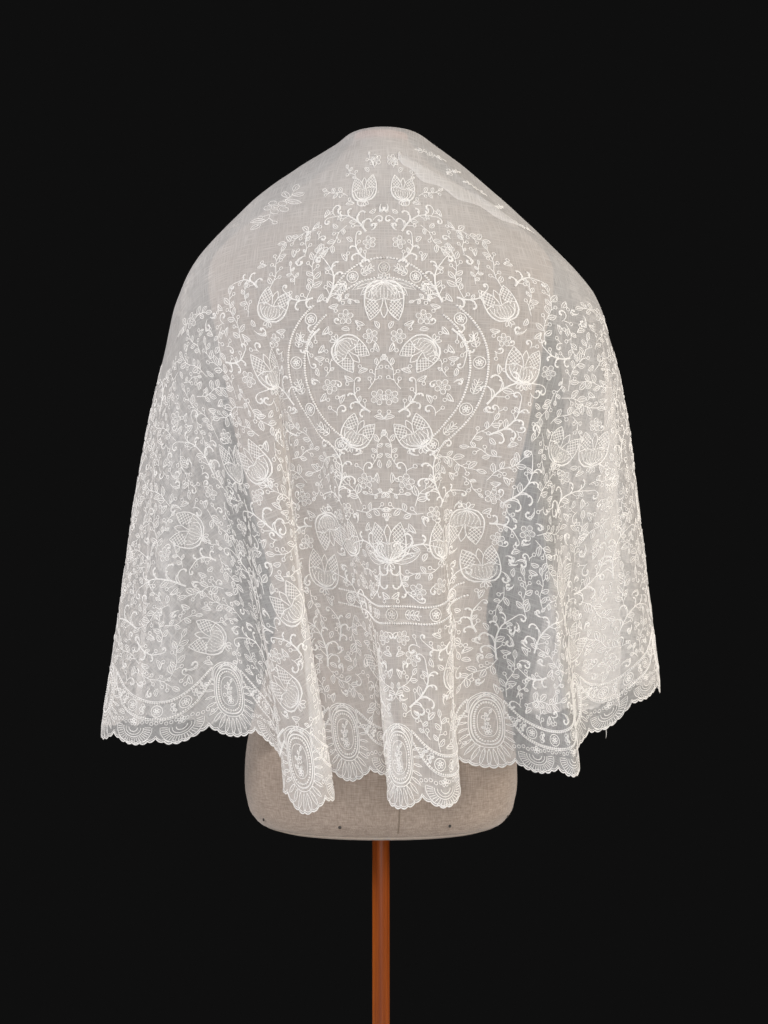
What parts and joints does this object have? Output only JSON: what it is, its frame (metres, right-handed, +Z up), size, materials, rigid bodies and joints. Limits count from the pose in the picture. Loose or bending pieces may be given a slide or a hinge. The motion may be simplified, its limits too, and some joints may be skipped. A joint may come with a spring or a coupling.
{
  "type": "embroidered lace shawl on a limbless dress form",
  "caption": "Sheer half-round shawl with a scalloped hem, draped over the neck and shoulders of a limbless dress form on a round wooden stand.",
  "frame": {"origin": "centre of the flat underside of the round base, on the floor", "axes": "+Z up along the pole, +Y towards the shawl's open front, -Y towards the embroidered back"},
  "size_m": [0.6389, 0.3925, 1.4768],
  "materials": {
    "cloth": "sheer crisp plain weave, ivory white, with raised white thread embroidery",
    "linen": "fine mottled warm grey linen",
    "cap": "plain dusty pink cover",
    "pole": "orange-brown varnished wood",
    "base": "orange-brown varnished turned wood"
  },
  "bodies": {
    "root": {"shawl": "cloth", "form_torso": "linen", "neck_cap": "cap", "pole": "pole", "base": "base"}
  },
  "joints": []
}
